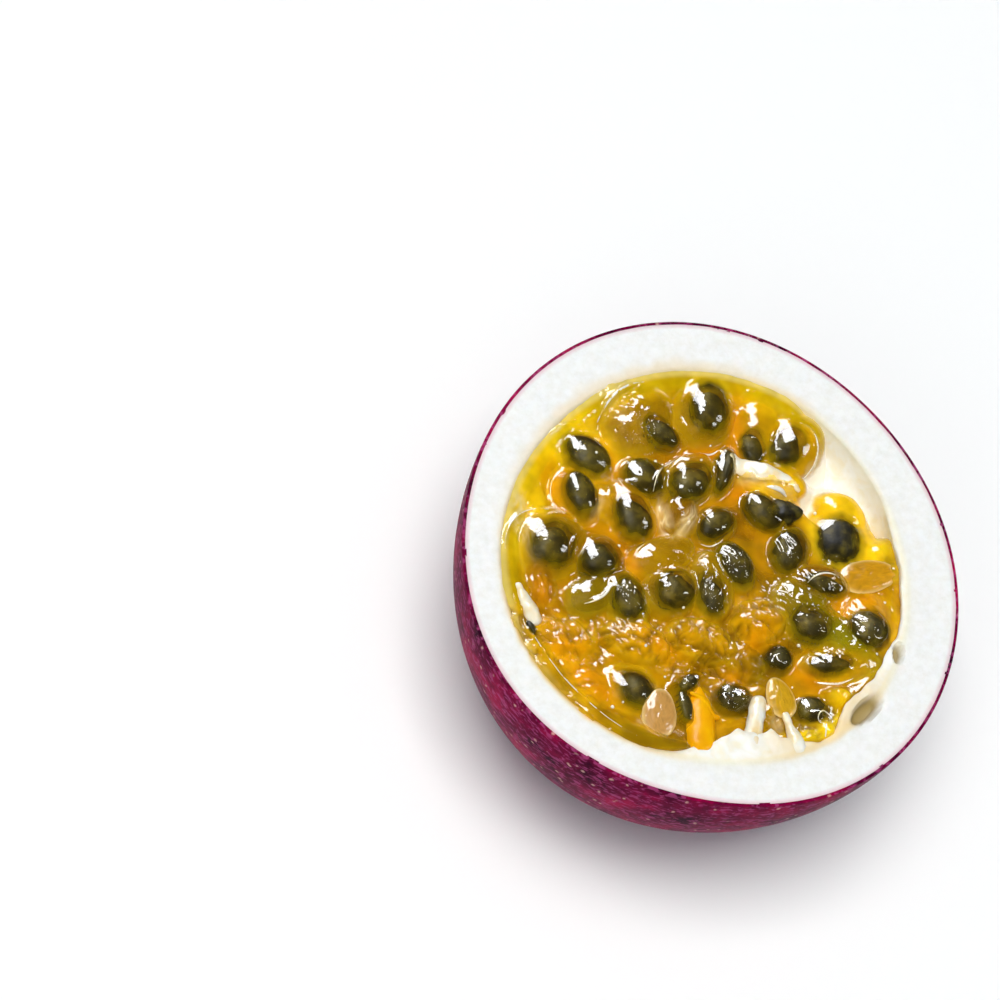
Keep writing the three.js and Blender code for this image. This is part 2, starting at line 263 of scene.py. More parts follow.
# Where the film is milky: centre, length, width, turn, how milky.
MILKY = (
    (-4.4, 5, 4.8, 1.3, 98, 0.8),
    (-2.1, 4.6, 4.4, 1.4, 52, 0.8),
    (-7.6, 16.4, 6.5, 3.2, 115, 0.12),
    (-20.3, 5.4, 9, 2.4, 106, 0.6),
    (5.6, 10.6, 3.8, 2.6, -30, 0.95),
    (8.6, 8.4, 5, 1.6, -25, 0.35),
    # This streak over a seed is milky film and a painted highlight both.
    (-9.2, -13.3, 3.4, 1.4, -20, 0.4),
    (-11.8, 6.2, 2.6, 1.2, 60, 0.5),
    (4.6, -17.6, 2, 1.4, 90, 0.5),
)

# Hollows between the wall and its torn skin: centre, length, width, turn, depth.
PITS = (
    (18.8, -10.5, 2.2, 1.1, 76, 1.3),
    (14.2, -16.6, 4.4, 1.7, 38, 1.7),
)
DEEP = 5  # the place in a row of how milky the film is, or how deep a pit

# Juice soaked into the cut wall from the cavity: middle and half span in degrees, reach, strength.
STAINS = (
    (216, 33, 0.6, 0.9),
    (112, 46, 1.3, 0.3),
    (168, 20, 0.6, 0.35),
    (62, 14, 0.8, 0.3),
    (300, 22, 0.5, 0.45),
)

# White skin of the wall, torn and lying in over the pulp: angle, how far in, height of its edge.
SHELF = (
    (-118, 0, -0.3), (-111, 0.4, -0.2), (-105, 1.2, -0.1), (-100, 1.9, 0), (-96, 2.5, 0.1),
    (-93, 3.3, 0.2), (-89, 3.8, 0.3), (-85, 3.6, 0.2), (-81, 3.2, 0.1), (-78, 3.4, 0.3),
    (-76, 2.4, 0.3), (-73, 1.6, 0.1), (-69, 1, 0), (-65, 0.3, -0.1), (-60, 0.4, 0),
    (-57, 1.1, 0.1), (-53, 2, 0.3), (-49, 2.2, 0.3), (-44, 1.9, 0.3), (-38, 1.5, 0.2),
    (-33, 1.4, 0.2), (-28, 1.4, 0.2), (-23, 0.7, 0.1), (-16, 0.5, 0), (-9, 0.7, 0.1),
    (-1, 0.4, 0), (6, 0.6, 0.1), (13, 0.4, 0), (18, 0, -0.2),
)

# Strands of membrane lying on the pulp: x, y, height over it and radius at each stop.
POD_CAP = (
    (4.2, 12.0, -0.2, 0.5),
    (5.2, 11.1, -0.15, 1.0),
    (6.8, 10.4, -0.2, 1.0),
    (8.6, 9.8, -0.15, 0.7),
    (10.2, 9.0, -0.1, 0.4),
    (11.0, 8.2, -0.1, 0.2),
)
# Two white strokes on the pod: painted highlights, not membrane.
POD_PAINTED_GLINTS = (
    ((7.4, 8.5, -0.1, 0.1), (8.2, 8.3, 0.0, 0.28), (9.0, 8.0, 0.0, 0.28), (9.6, 7.6, -0.1, 0.1)),
    ((7.8, 7.5, -0.1, 0.1), (9.0, 7.1, 0.0, 0.3), (10.0, 6.9, 0.0, 0.25), (10.7, 6.9, -0.1, 0.1)),
)
LEFT_STALK = (
    (-21.5, -2.6, 0.0, 0.4),
    (-21.2, -3.6, 0.1, 0.55),
    (-20.7, -4.9, 0.2, 0.85),
    (-20.2, -6.0, 0.1, 0.8),
)
STUB = ((1.0, -20.4, 0.2, 1.0), (1.4, -18.8, 0.7, 0.9), (2.0, -17.0, 0.9, 0.92), (2.5, -15.6, 1.0, 0.85))
SPOON_STALK = (
    (5.5, -16.8, 0.5, 0.45),
    (5.6, -17.8, 0.5, 0.4),
    (5.7, -18.9, 0.5, 0.6),
    (5.9, -20.4, 0.2, 1.1),
)
THREAD = ((9.0, -19.5, 0.0, 0.05), (9.1, -18.9, 0.05, 0.08), (9.3, -18.2, 0.0, 0.06))
WEDGE_LIP = (
    (-4.5, -14.3, 0.4, 0.2),
    (-3.5, -14.7, 0.5, 0.3),
    (-2.9, -15.6, 0.5, 0.34),
    (-2.5, -16.6, 0.4, 0.34),
    (-1.9, -16.8, 0.3, 0.24),
)
WEDGE = (
    (-3.7, -13.9, -0.1, 0.7),
    (-3.6, -15.4, 0.1, 1.25),
    (-3.8, -17.4, 0.2, 1.5),
    (-4.2, -19.4, 0.2, 1.5),
    (-4.5, -20.6, 0.0, 1.2),
)

# Drops of juice beaded on the film, near-white so that they read as painted glints: x, y, radius.
BEADS = (
    (-11.3, 12.0, 0.14), (-9.7, 2.2, 0.2), (-7.6, 11.3, 0.12), (-4.4, 11.6, 0.18), (-3.6, 11.3, 0.12),
    (3.4, 12.6, 0.16), (2.0, 13.4, 0.12), (0.2, 11.2, 0.14), (-13.9, -6.0, 0.12), (-13.0, -15.4, 0.2),
    (-11.9, -15.0, 0.12), (-9.0, -9.4, 0.16), (-4.2, -5.2, 0.16), (13.5, -5.4, 0.14), (12.4, -4.4, 0.12),
    (16.6, -10.4, 0.14), (8.4, -9.0, 0.2), (9.0, 6.9, 0.2), (12.5, 6.6, 0.16), (13.4, 6.4, 0.2),
    (3.0, -18.6, 0.14), (6.9, -13.6, 0.12), (-6.8, -12.2, 0.12), (1.9, -9.2, 0.12), (18.9, -4.4, 0.14),
)

# Pale seeds: x, y, length, width, turn, height over the pulp, colour inside, how clear.
PALE_RIM = "#F2D48C"
PALE_SEEDS = (
    (-8.1, -16.2, 5.4, 3.7, 76, 0.25, "#CC9850", 0.1),
    (5.3, -14.8, 4.6, 3.1, 102, 0.35, "#ECB820", 0.35),
    (17.6, -1.4, 7.0, 3.7, 9, 0.15, "#E8AA18", 0.35),
)


# ---- Tools ----

def deselect_all():
    bpy.ops.object.select_all(action="DESELECT")


def pick(*pieces):
    deselect_all()
    for piece in pieces:
        piece.select_set(True)
    bpy.context.view_layer.objects.active = pieces[0]


def set_home(piece):
    """The piece's place goes into its mesh, and its object to the origin."""
    pick(piece)
    bpy.ops.object.transform_apply(location=True, rotation=True, scale=True)
    return piece


def place(piece):
    """From millimetres at the cut face to metres in the frame."""
    pick(piece)
    piece.scale = (MM, MM, MM)
    piece.location = FACE * MM
    return set_home(piece)


def shade_round(piece, sharpest=40):
    pick(piece)
    bpy.ops.object.shade_smooth_by_angle(angle=radians(sharpest))


def edge_radius(edge, angle):
    waves = (c * np.cos(n * angle) + s * np.sin(n * angle) for n, c, s in edge["lobes"])
    return edge["radius"] + sum(waves)


def bowl_ring(edge, angles, share=1, fall=0, z=0, inset=0):
    """One level ring of a bowl, drawn in to a share of the edge, leaning as the fruit does."""
    lobed = edge_radius(edge, angles) - edge["radius"]
    r = (edge["radius"] + lobed * (1 - fall) ** 2) * share - inset
    x = edge["centre"][0] + LEAN[0] * fall + r * np.cos(angles)
    y = edge["centre"][1] + LEAN[1] * fall + r * np.sin(angles)
    return np.stack([x, y, np.full_like(x, z)], 1)


def bowl_rings(edge, depth, power, lowest, sides, steps, inset=0):
    """The rings of a bowl from its lowest, given as a share of its depth, up to the cut."""
    angles = np.arange(sides) / sides * TURN
    steepest = asin(lowest ** (power / 2))
    rings = []
    for i in range(steps + 1):
        slope = steepest * (1 - i / steps)
        fall = sin(slope) ** (2 / power)
        share = cos(slope) ** (2 / power)
        rings.append(bowl_ring(edge, angles, share, fall, -fall * depth, inset))
    return rings


def sweep(name, rings):
    """A circle laid on the first ring and pulled out to each next one, with both ends drawn shut."""
    sides = len(rings[0])
    deselect_all()
    bpy.ops.mesh.primitive_circle_add(vertices=sides, radius=1)
    piece = bpy.context.active_object
    piece.name = piece.data.name = name
    bpy.ops.object.mode_set(mode="EDIT")
    mesh = bmesh.from_edit_mesh(piece.data)
    spoke = mesh.verts.layers.int.new("spoke")
    for i, v in enumerate(sorted(mesh.verts, key=lambda v: atan2(v.co.y, v.co.x))):
        v[spoke] = i
    for i, ring in enumerate(rings):
        if i:
            bpy.ops.mesh.extrude_edges_move()
        mesh = bmesh.from_edit_mesh(piece.data)
        mesh.verts.ensure_lookup_table()
        spoke = mesh.verts.layers.int["spoke"]
        for v in mesh.verts[-sides:]:
            v.co = ring[v[spoke]]
    bpy.ops.mesh.merge(type="CENTER")
    bpy.ops.mesh.select_all(action="DESELECT")
    mesh = bmesh.from_edit_mesh(piece.data)
    mesh.verts.ensure_lookup_table()
    for v in mesh.verts[:sides]:
        v.select = True
    mesh.select_flush(True)
    bpy.ops.mesh.merge(type="CENTER")
    bpy.ops.mesh.select_all(action="SELECT")
    bpy.ops.mesh.normals_make_consistent(inside=False)
    bpy.ops.object.mode_set(mode="OBJECT")
    piece.data.attributes.remove(piece.data.attributes["spoke"])
    return piece


def points_of(piece):
    flat = np.zeros(len(piece.data.vertices) * 3)
    piece.data.vertices.foreach_get("co", flat)
    return flat.reshape(-1, 3)


def move_points(piece, points):
    piece.data.vertices.foreach_set("co", points.ravel())
    piece.data.update()


def paint(piece, name, values):
    """A number or a colour for each point, kept on the mesh for its material to read."""
    values = np.asarray(values, float)
    if values.ndim == 1:
        layer = piece.data.attributes.new(name, "FLOAT", "POINT")
        layer.data.foreach_set("value", values)
        return
    layer = piece.data.color_attributes.new(name, "FLOAT_COLOR", "POINT")
    layer.data.foreach_set("color", np.column_stack([values, np.ones(len(values))]).ravel())


def wander(points, grain, pattern):
    """Smooth noise from about -1 to 1, with features of about one grain in size."""
    shift = Vector((pattern, pattern, pattern))
    return np.array([noise.noise(Vector(p) / grain + shift) for p in points])


def linear(code):
    """An sRGB hex colour as linear numbers."""
    parts = [int(code[i:i + 2], 16) / 255 for i in (1, 3, 5)]
    return [p / 12.92 if p <= 0.04045 else ((p + 0.055) / 1.055) ** 2.4 for p in parts]


def rgba(code):
    return (*linear(code), 1.0)


# ---- The pulp's relief ----

def ease(share):
    """From 0 to 1 without a corner at either end."""
    share = np.clip(share, 0, 1)
    return share * share * (3 - 2 * share)


def rise(value, start, end):
    """0 at the start and before it, 1 at the end and past it."""
    return ease((value - start) / (end - start))


def blend(one, other, share):
    return one * (1 - share) + other * share


def ripple(x, y, grain, pattern):
    """The noise of wander(), over the cut face."""
    return wander(np.stack([x, y, np.zeros_like(x)], 1), grain, pattern)


def fibres(x, y, turn, grain, pattern):
    """Sharp-crested noise drawn out along a direction, as fibres lie."""
    a = radians(turn)
    along = (x * cos(a) + y * sin(a)) / FIBRE_STRETCH
    bends = 2.2 * grain * ripple(x, y, 3.5 * grain, pattern + 80)
    over = -x * sin(a) + y * cos(a) + bends
    return 0.5 - 2 * np.abs(ripple(along, over, grain, pattern))


def across(x, y, lump):
    """How far each point lies from the middle of a lump, 1 at its edge."""
    cx, cy, long, wide, turn = lump[:5]
    a = radians(turn)
    along = ((x - cx) * cos(a) + (y - cy) * sin(a)) / (long / 2)
    over = (-(x - cx) * sin(a) + (y - cy) * cos(a)) / (wide / 2)
    return np.hypot(along, over)


def cap(x, y, lump, top, high):
    """Height of a rounded lump's upper side, falling away outside it."""
    far = across(x, y, lump)
    dome = np.sqrt(np.clip(1 - far ** 2, 0, 1))
    return top - high / 2 * (1 - dome) - np.clip(far - 1, 0, None) * lump[WIDE] * 0.8


def sac_caps(x, y):
    return [cap(x, y, s, s[TOP], s[WIDE] * SAC_HEIGHT) for s in SACS]


def soft_highest(heights, sharpness):
    """The highest of several surfaces, with the creases between them filled a little."""
    stack = np.stack(heights)
    most = stack.max(0)
    return most + np.log(np.exp((stack - most) * sharpness).sum(0)) / sharpness


def from_middle(x, y):
    """How far each point lies from the cavity's middle, and at what angle."""
    dx = x - CAVITY["centre"][0]
    dy = y - CAVITY["centre"][1]
    return np.hypot(dx, dy), np.arctan2(dy, dx)


def wall_share(x, y):
    """How far out each point lies, 1 at the wall."""
    far, angle = from_middle(x, y)
    return far / edge_radius(CAVITY, angle)


def pocket_fall(x, y):
    near = np.hypot(x - POCKET["x"], y - POCKET["y"]) / POCKET["reach"]
    return POCKET["depth"] * np.exp(-near ** 6)


def nearest_sac(x, y):
    """How far each point lies from the nearest sac's middle, 1 at its edge."""
    return np.min([across(x, y, s) for s in SACS], 0)


def in_pocket(x, y):
    """1 on the white film in the pocket, 0 on the sacs round it."""
    return rise(pocket_fall(x, y), 0.4, 2.0) * rise(nearest_sac(x, y), 0.98, 1.12)


def pit_share(x, y):
    """How much painted shade darkens the pits at each point, the deeper pit the darker."""
    darkest = [min(pit[DEEP] / DARK_PIT, 1) for pit in PITS]
    return np.max([dark * np.exp(-across(x, y, pit) ** 6) for dark, pit in zip(darkest, PITS)], 0)


def pit_fall(x, y):
    """How deep the pits are at each point."""
    return sum(pit[DEEP] * np.exp(-across(x, y, pit) ** 6) for pit in PITS)


def blend_of(x, y, values, reach=1.0):
    """Each sac's value, blended over the face by how near each sac is."""
    weights = np.stack([np.exp(-(across(x, y, sac) / reach) ** 2 * 2) for sac in SACS]) + 1e-9
    return np.tensordot((weights / weights.sum(0)).T, values, 1)


def clearness(x, y):
    return blend_of(x, y, [s[CLEAR] for s in SACS])


def film_ridges(x, y):
    """Thin rims of film drawn up along parts of the sacs' edges."""
    total = np.zeros_like(x)
    for cx, cy, radius, start, end, wide, high, _ in FILM_RIMS:
        span = end - start
        turned = (np.degrees(np.arctan2(y - cy, x - cx)) - start) % 360
        ends = np.clip(np.minimum(turned, span - turned) / (0.25 * span), 0, 1)
        off = (np.hypot(x - cx, y - cy) - radius) / wide
        total += high * ends * np.exp(-off ** 2 * 2)
    return total


def sac_folds(x, y):
    """Thin folds of film along one side of each clear sac, just inside its edge."""
    total = np.zeros_like(x)
    for i, sac in enumerate(SACS):
        if sac[CLEAR] < FOLDED_FROM:
            continue
        far = across(x, y, sac)
        near = far < 1.3
        around = np.arctan2(y[near] - sac[1], x[near] - sac[0])
        side = np.clip(np.cos(around - radians(135) - 0.9 * sin(2.4 * i)) - 0.1, 0, 1)
        total[near] += 0.2 * side * np.exp(-((far[near] - 0.86) / (0.3 / sac[WIDE])) ** 2)
    return total


def shelf(degrees):
    """How far in the torn white skin lies at each angle, and the height of its edge."""
    degrees = (degrees + 180) % 360 - 180
    turns, reaches, heights = np.array(SHELF, float).T
    return np.interp(degrees, turns, reaches, 0, 0), np.interp(degrees, turns, heights)


def near_wall(x, y):
    """How far up the wall's foot the pulp is: fully all round, but for the right side."""
    right = rise(np.abs(np.degrees(np.arctan2(y, x)) - RIGHT_SIDE), 52, 37)
    return rise(wall_share(x, y), *WALL_FOOT) * (1 - 0.85 * right)


def tuck(x, y, height):
    """The pulp's height, kept low where the torn white skin covers it."""
    far, angle = from_middle(x, y)
    reach, _ = shelf(np.degrees(angle))
    inside = edge_radius(CAVITY, angle) - far
    covered = rise(reach - inside, -0.1, 0.4) * (reach > 0.1)
    return blend(height, np.minimum(height, COVERED_LEVEL), covered)


def seed_shade(x, y):
    """How dark the pulp is over a seed, fading past the seed's edge, and how far the seed shows."""
    ragged = 0.12 * ripple(x, y, 0.9, 23.0)
    shade = np.zeros_like(x)
    shows = np.zeros_like(x)
    for s in SEEDS:
        far = across(x, y, s) + ragged
        shade = np.maximum(shade, rise(far, 1.26, 0.7))
        shows = np.maximum(shows, rise(far, 0.98, 0.58) * (1.0 if s[FILM] > 0.08 else 1.3))
    return shade, np.minimum(shows, 1)


def seed_tone(x, y):
    """The colour that a seed lends the pulp over it: dark, with lighter olive patches."""
    patches = ease(0.35 + 1.1 * ripple(x, y, 1.3, 27.0))[:, None]
    dark, light = (np.array(linear(tone)) for tone in HALO)
    return blend(dark, light, patches)


def milkiness(x, y):
    """How milky the film is at each point, in streaks."""
    milk = np.zeros_like(x)
    for patch in MILKY:
        streaks = 0.55 + 0.9 * fibres(x, y, patch[TURNED], 0.5, patch[0])
        milky = patch[DEEP] * np.clip(streaks, 0, 1) * np.exp(-across(x, y, patch) ** 4)
        milk = np.maximum(milk, milky)
    return milk


def pulpiness(x, y):
    """How far the pulp is loose fibres rather than clear sacs."""
    loose = np.clip(1.1 - 1.4 * clearness(x, y), 0, 1)
    return loose * (1 - 0.85 * rise(y, -1, 3))


def pulp_grain(x, y):
    """Relief of the loose fibres: mounds, with strings over them."""
    mounds = 3.2 * np.abs(ripple(x, y, 2.6, 6.0)) + 1.6 * np.abs(ripple(x, y, 1.2, 61.0)) - 1.0
    return mounds + 0.45 * fibres(x, y, -38, 0.8, 2.0) + 0.35 * fibres(x, y, 70, 0.45, 5.0)


def juice_level(x, y):
    """The juice between the sacs: low in the pocket, and climbing at the wall."""
    pocket = pocket_fall(x, y)
    return PULP_LEVEL - pocket + PULP_CLIMB * near_wall(x, y) * (1 - pocket / POCKET["depth"])


def gel_height(x, y):
    """Top of the gel: sacs, films over the seeds, loose fibres, folds and wrinkles."""
    warp_x = x + 0.35 * ripple(x, y, 3.0, 1.5)
    warp_y = y + 0.35 * ripple(x, y, 3.0, 9.5)
    level = juice_level(x, y) + 0.25 * ripple(x, y, 4.5, 4.0)
    films = [cap(x, y, s, s[TOP] + s[FILM], s[WIDE] * SEED_HEIGHT) for s in SEEDS if s[FILM] > 0]
    height = soft_highest([level, *sac_caps(warp_x, warp_y), *films], sharpness=7)
    height = height + 0.4 * pulpiness(x, y) * pulp_grain(x, y) + film_ridges(x, y) - pit_fall(x, y)
    height = height + sac_folds(x, y) * (1 - in_pocket(x, y))
    height = height + 0.045 * ripple(x, y, 1.3, 14.0) + 0.022 * ripple(x, y, 0.6, 15.0)
    for patch in WRINKLES:
        cx, cy, _, _, turn, deep = patch
        far = across(x, y, patch)
        near = far < 1.4
        lines = fibres(x[near], y[near], turn, 0.7, cx) + 0.5 * fibres(x[near], y[near], turn + 8, 0.4, cy)
        height[near] += deep * lines * np.exp(-far[near] ** 4)
    return tuck(x, y, height)


def core_height(x, y):
    """Top of the flesh under the gel: close under it where the pulp is cloudy, deep where it is clear."""
    height = soft_highest([juice_level(x, y), *sac_caps(x, y)], sharpness=3) - pit_fall(x, y)
    clear = clearness(x, y) * (1 - near_wall(x, y))
    return tuck(x, y, height) - 0.3 - 1.3 * clear ** 2 + 0.15 * ripple(x, y, 1.6, 7.0)


def pulp_colour(x, y):
    """The pulp's colour: orange in the creases, painted shade in some creases and in the fibres' valleys,
    pale at the wall.
    """
    out = wall_share(x, y)
    nearest = nearest_sac(x, y)
    left = ease(np.cos(np.arctan2(y, x) - radians(LEFT_SIDE)) + 0.4)
    near_left = rise(out, 0.84, 0.92) * left
    crease = 0.7 * rise(nearest, 0.85, 1.15) * (1 - near_left)
    dark = ease(0.4 + 1.2 * ripple(x, y, 2.6, 71.0))
    patches = 0.91 + 0.2 * ripple(x, y, 2.2, 12.0) + 0.12 * ripple(x, y, 0.8, 13.0)
    layers = [
        (TINTS["yellow"], 0.55 * near_left),
        # creases get orange juice in some patches and dark brown painted shade in others
        (CREASE_JUICE_AND_SHADE[0], crease * (1 - dark)),
        (CREASE_JUICE_AND_SHADE[1], crease * dark),
        (EDGE, 0.3 * np.exp(-((nearest - 0.88) / 0.1) ** 2)),
        *((GLOW, 0.65 * np.exp(-across(x, y, glow) ** 2)) for glow in GLOWS),
        (MILK, milkiness(x, y)),
        (PALE, 0.8 * rise(out, 0.965, 0.995) * left),
        # painted shade in the low valleys of the fibre relief
        (VALLEY_SHADE, 0.9 * pulpiness(x, y) * np.clip(0.1 - pulp_grain(x, y), 0, 1)),
    ]
    colour = blend_of(x, y, [linear(TINTS[s[TINT]]) for s in SACS], reach=0.8)
    for tone, share in layers:
        colour = blend(colour, np.array(linear(tone)), share[:, None])
    return blend(colour * patches[:, None], np.array(linear(IVORY)), in_pocket(x, y)[:, None])


# ---- Pieces ----

def skin():
    outside = bowl_rings(RIM, DOME_DEPTH, DOME_POWER, REST_DEPTH / DOME_DEPTH, sides=256, steps=60)
    inside = bowl_rings(RIM, DOME_DEPTH - SKIN, DOME_POWER, DOME_LOWEST, sides=256, steps=30, inset=SKIN)
    for ring in (inside[-1], outside[-1]):
        ring[:, 2] = -SKIN_LOW
    flat = blend(outside[0].mean(0), outside[0], 0.3)
    return place(sweep("skin", [*inside, *outside[::-1], flat]))


def wall_rings(sides):
    """The white wall's rings: up its outside, in over the cut, over the lip and down the lining."""
    angles = np.arange(sides) / sides * TURN
    inset = SKIN - OVERLAP
    outside = bowl_rings(RIM, DOME_DEPTH - SKIN, DOME_POWER, DOME_LOWEST, sides, steps=24, inset=inset)
    rim = bowl_ring(RIM, angles, inset=inset)
    shoulder = bowl_ring(CAVITY, angles, inset=-LIP)
    shares = 1 - (1 - np.linspace(0, 1, 26)[1:]) ** 1.6
    top = [rim + (shoulder - rim) * share for share in shares]
    lip = []
    for a in np.arange(1, 8) / 8 * pi / 2:
        lip.append(bowl_ring(CAVITY, angles, z=-LIP * (1 - cos(a)), inset=-LIP * (1 - sin(a))))
    inside = bowl_rings(CAVITY, CAVITY_DEPTH, CAVITY_POWER, CAVITY_LOWEST, sides, steps=36)[::-1]
    inside[0][:, 2] = -LIP
    return [*outside, *top, *lip, *inside]


def white_wall():
    """The cut wall, its lip, the torn white skin over the pulp, and its lining down to the floor."""
    piece = sweep("white_wall", wall_rings(sides=512))
    points = points_of(piece)
    x, y, z = points.T
    on_top = np.clip(1 + z / 1.5, 0, 1)
    z += on_top * (0.07 * wander(points, 2.2, 3.0) + 0.035 * wander(points, 0.7, 6.0))
    far, turn = from_middle(x, y)
    angle = np.degrees(turn)
    edge = edge_radius(CAVITY, turn)
    inner = np.clip((edge - far) / 0.5 + 0.6, 0, 1) * np.clip(-z / 1.2, 0, 1)
    creased = ripple(angle / 4, z / 5, 0.8, 8.0) + 0.5 * ripple(angle / 4, z / 5, 0.35, 9.0)
    reach, tip = shelf(angle)
    reach = reach * (1 + 0.18 * ripple(far * np.cos(turn), far * np.sin(turn), 1.4, 44.0))
    pull = reach * np.clip(1 - (far - edge) / 1.8, 0, 1) * np.clip(1.2 + z / 1.4, 0, 1)
    moved = 0.15 * inner * creased - pull
    x += moved * np.cos(turn)
    y += moved * np.sin(turn)
    from_lip = far + moved - edge
    out_in = np.clip(-from_lip / np.maximum(reach, 0.3), 0, 1) * (reach > 0.05) * on_top
    folds = 0.35 * wander(points, 1.4, 41.0) + 0.08 * wander(points, 0.6, 42.0)
    z += out_in * (tip + folds)
    shallow = np.clip(1.1 + z / 4, 0, 1)
    z -= pit_fall(x, y) * shallow
    move_points(piece, points)
    # the pits are painted darker, as shade, the deeper the darker
    paint(piece, "pit_shade", 0.9 * shallow * ease(pit_share(x, y) * 1.5 - 0.3))
    paint(piece, "lining", np.maximum(inner, np.clip(-from_lip / 0.6 + 0.3, 0, 1)))
    paint(piece, "from_lip", from_lip)
    paint(piece, "from_skin", edge_radius(RIM, np.arctan2(y, x)) - np.hypot(x, y))
    soaked = np.clip(0.06 + 0.25 * wander(points, 1.2, 18.0), 0, 1) * out_in
    paint(piece, "stain", np.maximum(soaked, stains(points, angle, from_lip)))
    return place(piece)


def stains(points, angle, from_lip):
    """How far the cut wall is soaked with juice round its lip."""
    ragged = 1 + 0.35 * wander(points, 1.6, 17.0)
    stain = np.zeros_like(angle)
    for middle, half, wide, strength in STAINS:
        off = np.abs((angle - middle + 180) % 360 - 180) / half
        spread = np.exp(-off ** 4) * np.exp(-np.clip(from_lip / (wide * ragged), 0, None) ** 3)
        stain = np.maximum(stain, strength * spread)
    return stain


def pulp_rings(height, sides, steps, inset, floor):
    """Rings of a pulp layer: a wall down near the cavity's, and a top worked out from the edge inwards."""
    angles = np.arange(sides) / sides * TURN
    edge = bowl_ring(CAVITY, angles, inset=inset)
    centre = np.array([*CAVITY["centre"], 0.0])
    rings = [bowl_ring(CAVITY, angles, share, z=floor) for share in (0.3, 0.93)]
    for i in range(steps):
        ring = centre + (edge - centre) * (1 - i / steps)
        ring[:, 2] = height(ring[:, 0], ring[:, 1])
        rings.append(ring)
    return rings


def gel():
    piece = sweep("gel", pulp_rings(gel_height, sides=480, steps=200, inset=-0.45, floor=-11))
    points = points_of(piece)
    x, y, _ = points.T
    shade, shows = seed_shade(x, y)
    clear = clearness(x, y)
    cloudy = blend(np.maximum(0.95 - 0.5 * clear, 0.8 * rise(shade, 0, 0.5)), 0.25, shows)
    cloudy = np.maximum(cloudy, 0.9 * rise(wall_share(x, y), 0.86, 0.94))
    cloudy = np.maximum(cloudy, 0.9 * in_pocket(x, y))
    paint(piece, "cloudy", np.maximum(cloudy, milkiness(x, y)))
    loose = np.clip(0.9 - clear, 0, 1) * np.clip(0.7 + 1.5 * wander(points, 2.4, 50.0), 0.1, 1)
    paint(piece, "pulpy", loose * (1 - rise(wall_share(x, y), 0.78, 0.88)))
    paint(piece, "flesh", blend(pulp_colour(x, y), seed_tone(x, y), shade[:, None]))
    return place(piece)


def core():
    piece = sweep("flesh", pulp_rings(core_height, sides=300, steps=100, inset=-0.2, floor=-10.5))
    x, y, _ = points_of(piece).T
    shade = 0.8 * seed_shade(x, y)[0][:, None]
    paint(piece, "flesh", blend(pulp_colour(x, y) * 1.15, seed_tone(x, y), shade))
    return place(piece)


def smooth_path(stops, steps):
    """A smooth curve through the stops, in all their numbers."""
    stops = np.asarray(stops, float)
    ends = np.vstack([2 * stops[0] - stops[1], stops, 2 * stops[-1] - stops[-2]])
    rows = []
    for before, here, there, after in zip(ends, ends[1:], ends[2:], ends[3:]):
        for t in np.arange(steps) / steps:
            bend = (2 * before - 5 * here + 4 * there - after) * t ** 2
            twist = (3 * here - before - 3 * there + after) * t ** 3
            rows.append((2 * here + (there - before) * t + bend + twist) / 2)
    return np.array([*rows, stops[-1]])


def strand(stops, flat=0.7, sides=16, steps=8):
    """A soft strand lying on the pulp, with round ends."""
    rows = smooth_path(stops, steps)
    path, radius = rows[:, :3].copy(), rows[:, 3]
    path[:, 2] += gel_height(path[:, 0], path[:, 1])
    path[:, 2] = np.convolve(np.pad(path[:, 2], 4, "edge"), np.ones(9) / 9, "valid")
    along = np.gradient(path, axis=0)
    along /= np.linalg.norm(along, axis=1)[:, None]
    sections = list(zip(path, along, radius))
    for a in np.radians((30, 55, 78)):
        caps = []
        for end, sign in ((0, -1), (-1, 1)):
            centre = path[end] + sign * along[end] * radius[end] * sin(a)
            caps.append((centre, along[end], radius[end] * cos(a)))
        sections = [caps[0], *sections, caps[1]]
    angles = np.arange(sides) / sides * TURN
    rings = []
    for centre, direction, size in sections:
        side = np.cross(direction, (0, 0, 1))
        side /= np.linalg.norm(side)
        up = np.cross(side, direction) * flat
        rings.append(centre + size * (np.outer(np.cos(angles), side) + np.outer(np.sin(angles), up)))
    return sweep("strand", rings)


def join(name, pieces):
    pick(*pieces)
    bpy.ops.object.join()
    piece = bpy.context.active_object
    piece.name = piece.data.name = name
    return piece


def roughen(piece, grain, deep, pattern):
    """Small soft unevenness over a whole piece."""
    points = points_of(piece)
    normals = np.zeros(points.size)
    piece.data.vertices.foreach_get("normal", normals)
    points += normals.reshape(-1, 3) * (deep * wander(points, grain, pattern))[:, None]
    move_points(piece, points)


def top_of_gel(x, y):
    return gel_height(np.array([x], float), np.array([y], float))[0]


def ball(segments, rings, radius, spot=(0, 0, 0)):
    """A sphere to shape further."""
    deselect_all()
    bpy.ops.mesh.primitive_uv_sphere_add(segments=segments, ring_count=rings, radius=radius, location=spot)
    return bpy.context.active_object


def white_membranes():
    """What held the sacs to the wall: stalks and a torn cap, ivory and soft."""
    stalks = [strand(stops) for stops in (LEFT_STALK, STUB, SPOON_STALK)]
    piece = join("white_membranes", [strand(POD_CAP, flat=0.35), *stalks])
    roughen(piece, 0.9, 0.16, 21.0)
    roughen(piece, 0.4, 0.05, 22.0)
    return place(piece)


